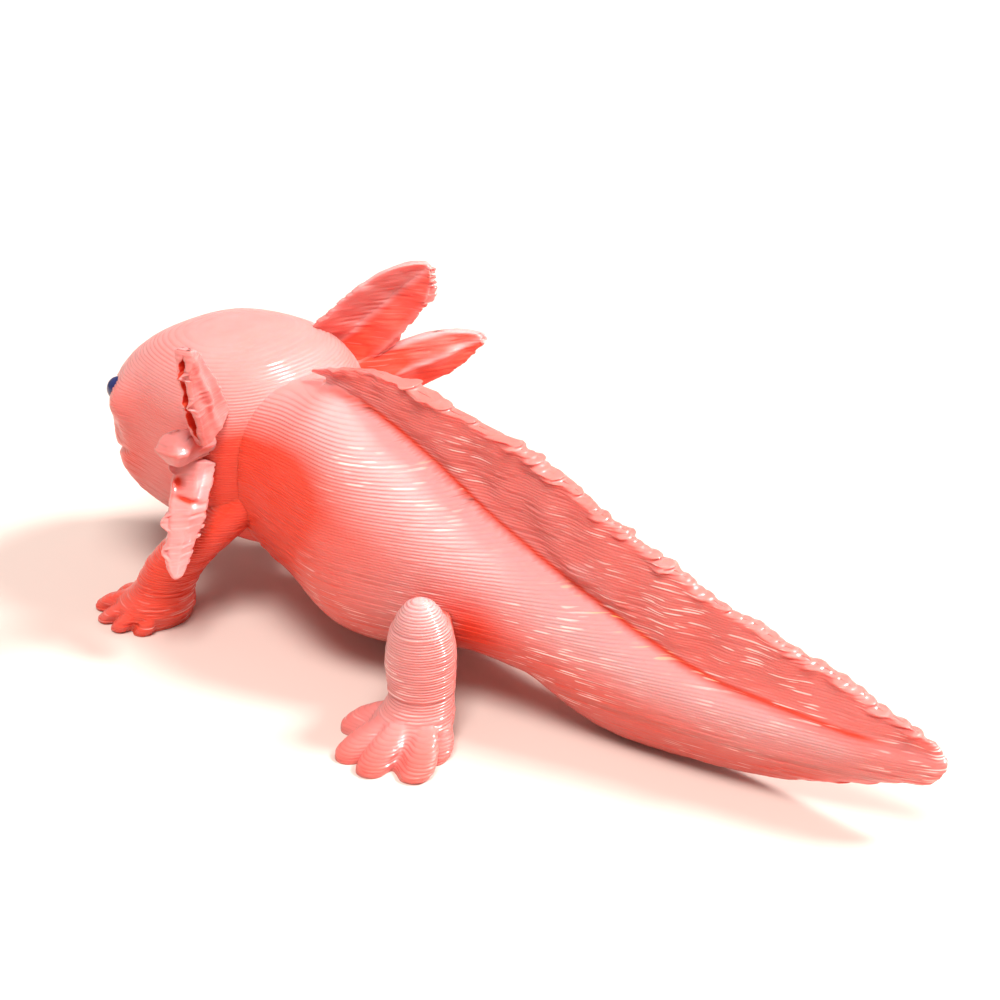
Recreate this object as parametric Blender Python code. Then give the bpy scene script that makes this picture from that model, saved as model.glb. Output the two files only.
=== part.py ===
"""Axolotl figurine: one glossy pink print with painted eyes, parted by thin cuts.

Frame: +Z up, the snout points to -Y, the animal's left side is +X, the soles lie in z = 0.
Places are written as (x, station, z) in millimetres, where a station is the distance
behind the snout. Objects are built in metres.
"""

import bmesh
import bpy
import numpy as np

MM = 0.001

# ---- driving dimensions, mm ----
LENGTH = 47.8             # snout to tail tip
CUT = 0.3                 # gap between neighbouring pieces
NOSE = 5.0                # length of the rounded snout
NOSE_HEIGHT = 7.8         # height of the snout's foremost point
SNOUT_CROWDING = 1.7      # how much closer the sections stand toward the snout
SNOUT_FULLNESS = 2.3      # bluntness of the snout from above, 2 for an ellipse
TIP_TAPER = 4.0           # length over which the tail tip thins
TAIL_SWING = 2.0          # sideways set of the tail tip, toward -X
SWING_START = 29.0        # station where the tail starts to swing
RIDGE = 0.12              # half the flat along the back and belly where there is no fin
DORSAL_HALF = (0.75, 0.3)     # half thickness of the back fin at its root and its crest
EDGE_ROUNDING = 0.8       # thickness left at a fin's very edge, as a share
VENTRAL_HALF = (0.55, 0.3)    # half thickness of the fin under the tail
GILL_THICK = 0.55
ROW_SPACING = 0.85        # distance between the body's sections, and the fins'
FIN_SPACING = 1.2
EYE_PLACE = (4.5, 3.1, 10.2)
EYE_RADIUS = 0.62
EYE_SEAT = 0.15           # clearance of the eye in its socket
BROW_SWELL = 0.45         # height and reach of the swelling round the eye
BROW_REACH = 1.3
ANKLE = 1.9               # height of the cut between leg and foot
TOE_HEIGHT = 1.35
DOME = 2.2                # height over which the top of a leg rounds off
SOLE_EDGE = 0.92          # reach of a toe's sole, as a share of its reach just above
WEB = 8.0                 # sharpness of the corners between toes
FOOT_SIDES = 40           # points round a foot's sections, to hold its toes
LEG_SIDES = 22

# ---- body lines: (station, value) ----
BACK = ((0.0, 11.7), (3.0, 12.7), (5.6, 13.3), (8.1, 13.2), (10.6, 12.4), (12.4, 12.1), (14.6, 12.4),
        (17.0, 12.0), (20.6, 10.7), (25.0, 8.7), (31.0, 6.6), (37.0, 4.9), (41.6, 4.5), (LENGTH, 4.0))
BELLY = ((0.0, 4.4), (3.0, 3.6), (6.6, 3.4), (10.6, 3.5), (13.1, 2.3), (16.6, 0.9), (20.6, 1.0), (24.1, 2.1),
         (27.6, 2.3), (37.1, 1.9), (42.6, 2.4), (LENGTH, 3.5))
FLANK = ((0.0, 4.7), (3.6, 5.0), (6.6, 5.4), (9.1, 5.4), (11.8, 4.5), (14.6, 5.1), (18.6, 5.8), (22.6, 5.0),
         (26.1, 3.9), (31.1, 2.8), (37.1, 1.9), (42.6, 1.2), (46.1, 0.7), (LENGTH, 0.3))
CREST = ((12.5, 12.5), (15.0, 13.2), (18.3, 13.6), (24.6, 12.6), (30.6, 10.7), (36.0, 8.7), (41.0, 7.0),
         (45.0, 5.1), (LENGTH, 3.8))
FULLNESS = ((0.0, 2.4), (6.0, 2.8), (11.0, 2.5), (14.0, 2.2), (LENGTH, 2.2))   # 2 for an ellipse
KEEL = ((28.1, 1.6), (30.8, 0.4), (36.4, 0.3), (40.0, 0.7), (43.2, 1.5), (LENGTH, 3.4))

# ---- lengths that the body and its fins are parted into ----
BODY_LENGTHS = (("head", 0.01, 11.0), ("neck", 11.0, 13.8), ("trunk_front", 13.8, 20.6),
                ("trunk_rear", 20.6, 28.1), ("tail_base", 28.1, 34.6), ("tail_middle", 34.6, 41.0))
DORSAL_LENGTHS = (("dorsal_fin_front", 14.8, 20.6), ("dorsal_fin_middle", 20.6, 30.6),
                  ("dorsal_fin_rear", 30.6, 41.0))
VENTRAL_LENGTH = ("ventral_fin", 29.2, 41.0)
TAIL_TIP = ("tail_tip", 41.0, LENGTH)

# ---- gills: name, root, tip, way the leaf faces, half width ----
GILLS = (("upper", (4.2, 9.1, 11.3), (8.35, 12.6, 15.25), (-0.67, 0.74, 0.0), 1.65),
         ("middle", (5.3, 11.0, 9.7), (11.0, 13.7, 11.2), (-0.25, 0.90, 0.35), 1.35),
         ("lower", (5.3, 10.9, 7.7), (8.5, 12.1, 4.3), (0.55, 0.80, 0.25), 1.0))
GILL_FOLD = 0.45          # depth of the leaf's lengthwise fold, as a share of its half width
GILL_ROOT = 1.2           # length of the leaf that starts inside the head

# ---- legs: knots along the height, toes as (heading in degrees, reach, half width), thigh as
#      (heading, reach) ----
LEGS = {
    "front": {
        "path": ((0.0, (6.9, 7.3)), (ANKLE, (6.9, 8.5)), (3.6, (6.3, 9.3)), (5.4, (4.9, 10.7)),
                 (7.4, (2.3, 12.4))),
        "radius": ((0.0, 1.65), (ANKLE, 1.5), (3.6, 1.55), (7.4, 1.5)),
        "toes": ((-100, 2.6, 0.8), (-62, 3.1, 0.8), (-28, 2.9, 0.8), (15, 2.8, 0.8), (52, 2.5, 0.8)),
        "thigh": None,
        "top": 7.4},
    "hind": {
        "path": ((0.0, (7.8, 25.5)), (ANKLE, (6.5, 25.6)), (3.5, (6.2, 25.4)), (6.8, (6.2, 25.4))),
        "radius": ((0.0, 1.7), (ANKLE, 1.55), (3.5, 1.6), (6.8, 1.65)),
        "toes": ((-83, 3.3, 0.8), (-26, 3.0, 0.9), (12, 3.1, 0.9), (58, 3.4, 0.9), (100, 2.5, 0.8)),
        "thigh": (214, 4.2),
        "top": 6.8},
}
THIGH_SPAN = (5.3, 1.7)   # middle height and half height of the thigh
STANCE = {"hind_right": (-0.4, -2.4)}   # set of a foot inward and along, from its mirrored place

PINK = (0.90, 0.25, 0.22, 1.0)
NAVY = (0.02, 0.03, 0.12, 1.0)


def line(knots, station):
    """Value at a station of the smooth line through (station, value) knots."""
    at, value = np.array(knots, dtype=float).T
    slope = np.gradient(value, at)
    i = np.clip(np.searchsorted(at, station, side="right") - 1, 0, len(at) - 2)
    step = at[i + 1] - at[i]
    t = np.clip((station - at[i]) / step, 0.0, 1.0)
    eased = value[i] + (value[i + 1] - value[i]) * t * t * (3.0 - 2.0 * t)
    return eased + step * t * (1.0 - t) * (slope[i] * (1.0 - t) - slope[i + 1] * t)


def placed(x, station, z):
    """World points in metres of figurine places, with the tail's sideways swing."""
    x, station, z = np.broadcast_arrays(x, station, z)
    along = np.clip((station - SWING_START) / (LENGTH - SWING_START), 0.0, 1.0)
    return np.stack([x - TAIL_SWING * along ** 2, station - LENGTH / 2, z], axis=-1) * MM


def mirrored(point, side):
    """A place on the left side as it is, or reflected to the right side."""
    return (point[0] * side, point[1], point[2])


def material(name, color, roughness):
    """Glossy plastic or paint."""
    made = bpy.data.materials.new(name)
    made.use_nodes = True
    shader = made.node_tree.nodes["Principled BSDF"]
    shader.inputs["Base Color"].default_value = color
    shader.inputs["Roughness"].default_value = roughness
    shader.inputs["Metallic"].default_value = 0.0
    return made


def new_object(name, verts, faces, color=PINK, roughness=0.28):
    """Mesh object with outward faces and its own material."""
    mesh = bpy.data.meshes.new(name)
    mesh.from_pydata([tuple(v) for v in verts], [], faces)
    work = bmesh.new()
    work.from_mesh(mesh)
    bmesh.ops.recalc_face_normals(work, faces=work.faces)
    work.to_mesh(mesh)
    work.free()
    mesh.shade_smooth()
    mesh.set_sharp_from_angle(angle=np.radians(50))
    mesh.materials.append(material(name, color, roughness))
    made = bpy.data.objects.new(name, mesh)
    bpy.context.scene.collection.objects.link(made)
    return made


def loft(name, rings, **look):
    """Closed solid over a row of closed rings, flat at both ends."""
    count, sides = rings.shape[:2]
    here = np.arange(count - 1)[:, None] * sides + np.arange(sides)
    beside = np.roll(here, -1, axis=1)
    walls = np.stack([here, beside, beside + sides, here + sides], axis=-1).reshape(-1, 4)
    faces = walls.tolist()
    faces.append(list(range(sides)))
    faces.append(list(range((count - 1) * sides, count * sides)))
    return new_object(name, rings.reshape(-1, 3), faces, **look)


def stations(first, last, spacing):
    """Stations from first to last, closer together where the snout rounds off."""
    steps = max(2, round((last - first) / spacing))
    share = np.linspace(0.0, 1.0, steps + 1)
    if first < NOSE:
        share = share ** SNOUT_CROWDING
    return first + (last - first) * share


def body_section(station, grow=0.0):
    """Top, bottom and half width of the flesh at a station, rounded off toward the snout."""
    ahead = np.clip(1.0 - station / NOSE, 0.0, 1.0)
    rounding = (1.0 - ahead ** SNOUT_FULLNESS) ** (1.0 / SNOUT_FULLNESS)
    top = NOSE_HEIGHT + (line(BACK, station) - NOSE_HEIGHT) * rounding + grow
    bottom = NOSE_HEIGHT + (line(BELLY, station) - NOSE_HEIGHT) * rounding - grow
    return top, bottom, line(FLANK, station) * rounding + grow


def eye_swell(station, z):
    """Sideways swelling of the head round each eye."""
    off = ((station - EYE_PLACE[1]) ** 2 + (z - EYE_PLACE[2]) ** 2) / BROW_REACH ** 2
    return BROW_SWELL * np.exp(-off)


def mirrored_ring(half, z, station):
    """Closed ring from half widths at rising heights: up the left side, down the right."""
    x = np.concatenate([half, -half[::-1]])
    return placed(x, station, np.concatenate([z, z[::-1]]))


def body_ring(station, grow=0.0):
    """Oval section of the flesh, as wide as a fin's root where it carries one."""
    top, bottom, flank = body_section(station, grow)
    share = np.sin(np.radians(np.linspace(-90.0, 90.0, 14)))
    z = (top + bottom) / 2 + share * (top - bottom) / 2
    full = line(FULLNESS, station)
    half = flank * (1.0 - np.abs(share) ** full) ** (1.0 / full) + eye_swell(station, z)
    half = np.maximum(half, RIDGE)
    if station >= DORSAL_LENGTHS[0][1] - CUT:
        half[share > 0] = np.maximum(half[share > 0], DORSAL_HALF[0])
    if station >= VENTRAL_LENGTH[1] - CUT:
        half[share < 0] = np.maximum(half[share < 0], VENTRAL_HALF[0])
    return mirrored_ring(half, z, station)


def fin_ring(station, root, edge, thickness):
    """Section of a fin from its root height to its free edge."""
    share = np.array([0.0, 0.45, 0.85, 1.0])
    taper = thickness[0] + (thickness[1] - thickness[0]) * share
    taper[-1] *= EDGE_ROUNDING
    return mirrored_ring(taper, root + (edge - root) * share, station)


def tip_ring(station):
    """Section of the tail's last length, where body and fins are one blade."""
    back, belly, flank = body_section(station)
    crest = line(CREST, station)
    keel = line(KEEL, station)
    share = np.array([0.0, 0.12, 0.3, 0.5, 0.7, 0.9, 1.0])
    z = keel + (crest - keel) * share
    oval = np.clip(1.0 - ((z - (back + belly) / 2) / (back - belly) * 1.4) ** 2, 0.0, 1.0)
    blade = DORSAL_HALF[0] + (DORSAL_HALF[1] - DORSAL_HALF[0]) * share
    blade *= np.clip((LENGTH - station) / TIP_TAPER, 0.35, 1.0)
    half = np.maximum(flank * np.sqrt(oval), blade)
    half[[0, -1]] *= EDGE_ROUNDING
    return mirrored_ring(half, z, station)


def add_body():
    """Head, neck, trunk, tail and fins, parted by thin cuts across the body."""
    for name, first, last in BODY_LENGTHS:
        start = first + (CUT / 2 if first > NOSE else 0.0)
        rows = stations(start, last - CUT / 2, ROW_SPACING)
        loft(name, np.array([body_ring(s) for s in rows]))
    for name, first, last in DORSAL_LENGTHS:
        rows = stations(first + CUT / 2, last - CUT / 2, FIN_SPACING)
        loft(name, np.array([fin_ring(s, line(BACK, s) + CUT, line(CREST, s), DORSAL_HALF) for s in rows]))
    name, first, last = VENTRAL_LENGTH
    rows = stations(first + CUT / 2, last - CUT / 2, FIN_SPACING)
    rings = [fin_ring(s, line(BELLY, s) - CUT, line(KEEL, s), VENTRAL_HALF) for s in rows]
    loft(name, np.array(rings))
    name, first, last = TAIL_TIP
    loft(name, np.array([tip_ring(s) for s in stations(first + CUT / 2, last, ROW_SPACING)]))


def hide(guide):
    """Mark a solid that only cuts others."""
    guide.hide_render = True
    guide.display_type = "WIRE"


def cut_away(target, tool):
    """Take the tool's volume out of the target."""
    cut = target.modifiers.new("Cut", "BOOLEAN")
    cut.operation = "DIFFERENCE"
    cut.solver = "EXACT"
    cut.object = tool


def add_eyes():
    """Painted eye balls, each seated in a socket of the head."""
    for side_name, side in (("left", 1), ("right", -1)):
        centre = placed(*mirrored(EYE_PLACE, side))
        for kind, radius in (("eye", EYE_RADIUS), ("socket", EYE_RADIUS + EYE_SEAT)):
            ball = new_object(f"{kind}_{side_name}", [], [], color=NAVY, roughness=0.15)
            work = bmesh.new()
            bmesh.ops.create_icosphere(work, subdivisions=2, radius=radius * MM)
            work.to_mesh(ball.data)
            work.free()
            ball.data.shade_smooth()
            ball.location = centre
            if kind == "socket":
                hide(ball)
                cut_away(bpy.data.objects["head"], ball)


def add_gill(name, root, tip, facing, half_width, side, clearance):
    """Leaf folded along its rib, from inside the head out to its tip."""
    root = np.array(mirrored(root, side))
    tip = np.array(mirrored(tip, side))
    facing = np.array(mirrored(facing, side))
    length = np.linalg.norm(tip - root)
    along = (tip - root) / length
    across = np.cross(along, facing)
    across /= np.linalg.norm(across)
    facing = np.cross(across, along)
    u = np.linspace(-GILL_ROOT / length, 1.0, 9)[:, None]
    v = np.linspace(-1.0, 1.0, 7)[None, :]
    width = half_width * np.sin(np.pi * (0.16 + 0.74 * np.clip(u, 0.0, 1.0))) ** 0.8
    fold = GILL_FOLD * width * (np.abs(v) - 0.5)
    places = (root + (u * length)[..., None] * along + (v * width)[..., None] * across
              + fold[..., None] * facing)
    rows, columns = places.shape[:2]
    corner = (np.arange(rows - 1)[:, None] * columns + np.arange(columns - 1)).reshape(-1, 1)
    faces = corner + np.array([0, 1, columns + 1, columns])
    verts = placed(places[..., 0], places[..., 1], places[..., 2]).reshape(-1, 3)
    leaf = new_object(name, verts, faces.tolist())
    sheet = leaf.modifiers.new("Thickness", "SOLIDIFY")
    sheet.thickness = GILL_THICK * MM
    sheet.offset = 0.0
    cut_away(leaf, clearance)


def lobe(turn, heading, reach, half_width):
    """Polar radius of half an ellipse that points along its heading, and of half a circle behind."""
    off = turn - np.radians(heading)
    radius = 1.0 / np.sqrt((np.cos(off) / reach) ** 2 + (np.sin(off) / half_width) ** 2)
    return np.where(np.cos(off) > 0.0, radius, half_width)


def leg_ring(leg, z, side, shift, sides):
    """Level section of a leg: a round shaft, with toes near the floor and a thigh near the top."""
    turn = np.linspace(0.0, 2.0 * np.pi, sides, endpoint=False)
    path = leg["path"]
    x = line([(height, place[0]) for height, place in path], z) + shift[0]
    station = line([(height, place[1]) for height, place in path], z) + shift[1]
    above = max(0.0, 1.0 - (leg["top"] - z) / DOME)
    shaft = line(leg["radius"], z) * np.sqrt(max(0.02, 1.0 - above ** 2))
    parts = [np.full_like(turn, shaft)]
    if z < TOE_HEIGHT:
        low = np.sqrt(1.0 - (z / TOE_HEIGHT) ** 2)
        edge = SOLE_EDGE if z == 0.0 else 1.0
        parts += [lobe(turn, heading, shaft + (reach - shaft) * low * edge, width * (0.5 + 0.5 * low))
                  for heading, reach, width in leg["toes"]]
    away = abs(z - THIGH_SPAN[0]) / THIGH_SPAN[1]
    if leg["thigh"] and away < 1.0:
        heading, reach = leg["thigh"]
        high = np.sqrt(1.0 - away ** 2)
        parts.append(lobe(turn, heading, shaft + (reach - shaft) * high, shaft))
    radius = np.sum(np.array(parts) ** WEB, axis=0) ** (1.0 / WEB)
    ring = placed(x + radius * np.cos(turn), station + radius * np.sin(turn), z)
    ring[:, 0] *= side
    return ring


def add_leg(kind, side_name, side, clearance):
    """Foot below the ankle cut, and leg above it up to the body."""
    leg = LEGS[kind]
    shift = STANCE.get(f"{kind}_{side_name}", (0.0, 0.0))
    foot_heights = (0.0, 0.2, 0.55, 0.9, 1.15, 1.34, ANKLE - CUT / 2)
    foot = [leg_ring(leg, z, side, shift, FOOT_SIDES) for z in foot_heights]
    loft(f"foot_{kind}_{side_name}", np.array(foot))
    start = ANKLE + CUT / 2
    leg_heights = start + (leg["top"] - start) * np.sin(np.radians(np.linspace(0.0, 90.0, 12)))
    shaft = [leg_ring(leg, z, side, shift, LEG_SIDES) for z in leg_heights]
    cut_away(loft(f"leg_{kind}_{side_name}", np.array(shaft)), clearance)


def main():
    for old in list(bpy.data.objects):
        bpy.data.objects.remove(old, do_unlink=True)
    add_body()
    add_eyes()
    rows = stations(BODY_LENGTHS[0][1], SWING_START, ROW_SPACING)
    clearance = loft("body_clearance", np.array([body_ring(s, CUT) for s in rows]))
    hide(clearance)
    for side_name, side in (("left", 1), ("right", -1)):
        for gill_name, root, tip, facing, half_width in GILLS:
            add_gill(f"gill_{gill_name}_{side_name}", root, tip, facing, half_width, side, clearance)
        for kind in LEGS:
            add_leg(kind, side_name, side, clearance)


main()
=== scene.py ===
"""Axolotl figurine: glossy pink plastic, printed standing on its soles in level layers, with painted eyes.

Places are written as (x, station, z) in millimetres, as in the part: a station is the distance behind
the snout, the animal's left side is +x and the soles lie in z = 0. Every printed piece is a stack of
closed loops, one set of rows to a layer, so that the layers of neighbouring pieces meet.
"""

import bmesh
import bpy
import numpy as np
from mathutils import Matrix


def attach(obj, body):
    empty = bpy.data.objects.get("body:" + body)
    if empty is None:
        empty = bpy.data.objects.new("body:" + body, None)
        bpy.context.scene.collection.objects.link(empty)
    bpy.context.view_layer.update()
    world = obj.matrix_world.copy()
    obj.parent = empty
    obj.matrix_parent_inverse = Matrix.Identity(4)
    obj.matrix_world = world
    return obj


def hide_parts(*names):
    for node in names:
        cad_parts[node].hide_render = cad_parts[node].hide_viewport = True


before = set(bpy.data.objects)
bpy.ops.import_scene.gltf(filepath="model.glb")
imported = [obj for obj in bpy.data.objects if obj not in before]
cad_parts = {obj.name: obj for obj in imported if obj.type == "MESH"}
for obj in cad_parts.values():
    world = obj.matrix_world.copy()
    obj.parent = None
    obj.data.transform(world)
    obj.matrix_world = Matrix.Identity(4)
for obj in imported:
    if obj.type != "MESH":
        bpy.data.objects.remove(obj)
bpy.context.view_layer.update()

MM = 0.001

# ---- the figurine's main lines, mm ----
# a span is (start, length), and runs back where its length is negative
LENGTH = 47.8             # snout to tail tip
NOSE = 5.0                # length of the rounded snout
NOSE_HEIGHT = 7.8         # height of the snout's foremost point
SNOUT_FULLNESS = 2.3
TAIL_SWING = 2.0          # sideways set of the tail tip, toward -x
SWING_START = 29.0
HEAD_AXIS = 6.6           # station of the upright line that the head's loops go round
HEAD_REACH = 9.0          # more than the largest radius of those loops
HEAD_CLOSING = (10.2, 3.4)      # span in which the head rounds off behind
BODY_CLOSING = (13.4, -3.6)     # span in which the body rounds off inside the head
WEDGE_SPAN = (25.0, 5.0)        # span in which the flesh below the tail's middle becomes a wedge
WEDGE_FULLNESS = 1.35

BACK = ((0.0, 11.7), (3.0, 12.7), (5.6, 13.3), (8.1, 13.3), (10.6, 12.6), (12.4, 12.0), (14.6, 12.2),
        (17.0, 11.9), (20.6, 10.7), (25.0, 8.7), (31.0, 6.6), (37.0, 4.9), (41.6, 4.5), (LENGTH, 4.0))
BELLY = ((0.0, 4.4), (3.0, 3.6), (6.6, 3.4), (10.6, 3.5), (13.1, 2.3), (16.6, 0.9), (20.6, 1.0),
         (24.1, 2.1), (27.6, 2.3), (37.1, 1.9), (42.6, 2.4), (LENGTH, 3.5))
FLANK = ((0.0, 4.7), (3.6, 5.0), (6.6, 5.5), (9.1, 5.7), (10.9, 5.3), (12.4, 4.7), (14.6, 5.1), (18.6, 5.8),
         (22.6, 5.0), (26.1, 3.9), (31.1, 2.8), (37.1, 1.9), (42.6, 1.2), (46.1, 0.7), (LENGTH, 0.3))
CREST = ((12.5, 12.5), (15.0, 13.2), (18.3, 13.6), (24.6, 12.6), (30.6, 10.7), (36.0, 8.7), (41.0, 7.0),
         (45.0, 5.6), (46.9, 4.95), (47.5, 4.5), (LENGTH, 3.8))
FULLNESS = ((0.0, 2.4), (6.0, 2.8), (10.0, 2.9), (12.0, 2.5), (14.0, 2.05), (18.0, 2.2), (LENGTH, 2.2))
KEEL = ((28.1, 1.6), (30.8, 0.4), (36.4, 0.3), (40.0, 0.7), (43.2, 1.5), (46.0, 2.4), (47.5, 3.0),
        (LENGTH, 3.5))
SAMPLES = 300             # of a main line where its crossing with a height is looked up

# ---- face; a spot is ((station, height), reach, size) ----
EYE_PLACE = (4.5, 3.1, 10.2)
EYE_RADIUS = 0.62
BROW = ((3.7, 9.9), 1.25, 0.75)
CHEEK = ((3.6, 6.3), 1.0, 0.16)
CHEEK_HOLLOW = ((2.7, 7.7), 0.8, 0.14)
NOSTRIL = ((1.25, 9.6), 0.3, 0.2)      # (x, height), reach and depth
NOSTRIL_END = 2.5                      # station
LIP_HEIGHT = 6.35                      # of the mouth at the snout
LIP_RISE = 0.9                         # toward its corner
LIP_SPAN = (1.0, 3.4)
MOUTH_DEPTH, MOUTH_REACH = 0.22, 0.17
MOUTH_END = (3.6, 1.0)

# ---- fins ----
DORSAL_HALF = (0.75, 0.3)       # half thickness at the root and at the crest
DORSAL_START = (12.5, 6.0)      # span in which it grows from a share of this to the whole
DORSAL_FIRST_SHARE = 0.3
VENTRAL_HALF = 0.3
THINNING = 4.0                  # length over which both fins thin out at the tip
THINNEST = 0.4
BLEND = 7.0                     # power that joins flesh and blade
BLADE_START = (0.1, 0.8)        # height span above the back in which the blade begins
LEAN, LEAN_WAVE = 0.28, 7.0     # sideways waves of the blade: size and wavelength
FLUTTER, FLUTTER_WAVE = 0.08, 1.8
END_BLOB, CREST_BLOB = 0.16, 0.2
FRONT_BLUNT, REAR_BLUNT = 0.6, 0.42
TEAR = 0.16                     # of the blade's rear edge

# ---- printed layers ----
LAYER = 0.125
LAYERS = 160                    # more than any height has
BEAD_SHARES = (0.0, 0.22, 0.78)     # heights of a layer's rows, as shares of it
SPLIT = 2.375             # height below which belly and tail fin are pieces of their own
COLLAR_SHARE, COLLAR_INSET = 0.12, 0.95
GROOVE_LOW = 0.35               # share of the grooves' depth that is left low on a piece
BAND_MIDDLE, BAND_REACH, BAND_GROOVE = 0.9, 0.9, 1.3      # deeper grooves below the back's edge

# ---- painted shade and light; a spot is (place, reach, strength), its place (station, height) or (station, |x|) ----
NECK_FOLD = (12.2, 13.2)        # stations between which the painted shade of the neck's fold is deepest
NECK_FADE = (1.5, 5.2)          # how far it fades forward and back
ARM_PIT = ((11.6, 5.4), 2.4, 0.8)
KNEE_PIT = ((26.4, 4.6), 1.6, 0.55)
FORE_LEG = ((8.5, 6.5), 3.2, 0.25)
HIND_LEG = ((25.5, 7.0), 3.2)
LIT_LEG = ((25.0, 7.0), 2.6, 0.6)
BLADE_SHADE, UNDER_SHADE, FLANK_SHADE, CHEEK_SHADE, BAND_LIGHT = 0.4, 0.3, 0.4, 0.35, 0.6

# ---- gills, written as on the left side, and bent a little differently on each side ----
# root and tip, way the leaf faces, half width and its shares along the length, fold, thickness, rounding,
# slit in the outer end, swelling of that end, dents as (along, across, reach along, reach across, depth) in
# mm, strength of the painted shade and light, side of the rib on which the painted shade is deepest, and
# unevenness of edge and face
WIDE = ((0.0, 0.95), (0.3, 1.0), (0.6, 0.97), (0.85, 0.75), (1.0, 0.5))
NARROWED = ((0.0, 1.0), (0.35, 0.92), (0.7, 0.66), (1.0, 0.32))
KNOBBED = ((0.0, 0.75), (0.45, 0.65), (0.8, 0.95), (1.0, 1.0))
TAPERED = ((0.0, 1.0), (0.35, 0.95), (0.7, 0.7), (1.0, 0.62))
LANCE = ((0.0, 0.9), (0.3, 1.0), (0.65, 0.85), (1.0, 0.45))
GILLS = {
    "upper_left": dict(
        root=(5.6, 11.2, 11.3), tip=(7.4, 11.7, 15.5), facing=(-0.26, 0.965, 0.0), half_width=1.3,
        shares=NARROWED, fold=0.1, thick=0.45, rounding=7.0, slit=1.0, end_swell=0.7,
        dents=((1.9, 0.0, 1.2, 0.35, 0.3),), shading_strength=0.15, turned=-1, uneven=0.05),
    "middle_left": dict(
        root=(4.3, 10.2, 9.8), tip=(7.9, 10.6, 10.1), facing=(-0.1, 0.95, 0.2), half_width=0.95,
        shares=KNOBBED, fold=0.0, thick=1.0, rounding=2.6, slit=0.0, end_swell=0.15,
        dents=((2.9, 0.1, 0.5, 0.45, 0.3), (1.7, 0.3, 0.5, 0.6, -0.25)), shading_strength=-0.3, turned=-1, uneven=0.0),
    "lower_left": dict(
        root=(6.2, 10.5, 8.4), tip=(8.85, 11.75, 4.25), facing=(0.35, 0.75, 0.5), half_width=0.9,
        shares=TAPERED, fold=-0.15, thick=0.45, rounding=5.0, slit=0.0, end_swell=0.1,
        dents=((0.6, 0.7, 0.3, 0.2, -0.4), (1.25, 0.2, 0.14, 0.5, -0.2), (3.0, 0.2, 0.6, 0.5, 0.15)),
        shading_strength=0.0, turned=-1, uneven=0.08),
    "upper_right": dict(
        root=(4.2, 9.1, 11.25), tip=(8.2, 12.3, 15.5), facing=(-0.67, 0.74, 0.0), half_width=1.65,
        shares=WIDE, fold=0.55, thick=0.5, rounding=7.0, slit=0.0, end_swell=0.2,
        dents=((0.9, -1.2, 0.5, 0.35, 0.25),), shading_strength=0.6, turned=-1, uneven=0.8),
    "middle_right": dict(
        root=(5.2, 11.0, 9.8), tip=(10.7, 13.6, 11.25), facing=(-0.30, 0.92, 0.2), half_width=1.3,
        shares=LANCE, fold=-0.2, thick=0.5, rounding=7.0, slit=0.0, end_swell=0.2,
        dents=(), shading_strength=1.9, turned=-1, uneven=0.4),
    "lower_right": dict(
        root=(5.3, 10.9, 7.7), tip=(8.5, 12.1, 4.3), facing=(0.55, 0.80, 0.25), half_width=1.0,
        shares=LANCE, fold=0.4, thick=0.5, rounding=6.0, slit=0.0, end_swell=0.1,
        dents=(), shading_strength=0.2, turned=1, uneven=0.5),
}
SLIT_DEPTH = 0.28
# the outer end's outline, from one face round to the other: distances in from the end, in walls or, inside
# the slit, in slit depths, and shares of a lip's thickness; the middle places lie in the slit
END_INWARD = np.array([0.55, 0.2, 0.0, 0.0, 0.5, 1.6, 3.4, 3.4, 1.6, 0.5, 0.0, 0.0, 0.2, 0.55])[None, :]
END_LIP = np.array([1.0, 0.95, 0.5, 0.0, 0.0, 0.0, 0.0, 0.0, 0.0, 0.0, 0.0, 0.5, 0.95, 1.0])[None, :]
END_SLIT = slice(4, 10)

# ---- legs: knots along the height, toes as (heading in degrees, reach, half width, height), thigh as
# (heading in degrees, reach) ----
ANKLE = 1.9
DOME = 3.3                # height of a leg's rounded top
LEGS = {
    "front": {
        "path": ((0.0, (6.9, 7.3)), (ANKLE, (6.9, 8.5)), (3.6, (6.3, 9.3)), (5.4, (4.7, 10.5)),
                 (8.2, (2.4, 12.0))),
        "radius": ((0.0, 2.05), (0.9, 1.95), (ANKLE, 1.55), (3.6, 1.55), (5.4, 1.6), (8.2, 1.35)),
        "toes": ((-98, 2.85, 0.5, 1.35), (-62, 2.95, 0.5, 1.35), (-27, 2.65, 0.46, 1.1),
                 (6, 2.6, 0.44, 1.0), (40, 2.5, 0.42, 0.9)),
        "thigh": None,
        "top": 8.2},
    "hind": {
        "path": ((0.0, (7.8, 25.5)), (ANKLE, (6.5, 25.6)), (3.5, (6.2, 25.4)), (6.8, (6.2, 25.4))),
        "radius": ((0.0, 1.9), (1.1, 1.85), (2.2, 1.5), (3.5, 1.55), (6.8, 1.6)),
        "toes": ((-83, 3.4, 0.6, 1.4), (-26, 3.2, 0.7, 1.5), (12, 3.2, 0.75, 1.7), (58, 3.5, 0.75, 1.6),
                 (100, 2.5, 0.6, 1.3)),
        "thigh": (214, 3.6),
        "top": 6.9},
}
THIGH_SPAN = (4.0, 1.5)         # middle and half of the thigh's height
STANCE = {"hind_right": (-0.4, -2.4)}       # shift of a leg along x and along the stations
JOIN, TOE_JOIN = 6, 14          # powers that join shaft and thigh, and the toes
SOLE_ROUNDING = (0.45, 0.12)    # height of the toes' rounded sole, and how far it draws in


# ---- curves ----

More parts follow.
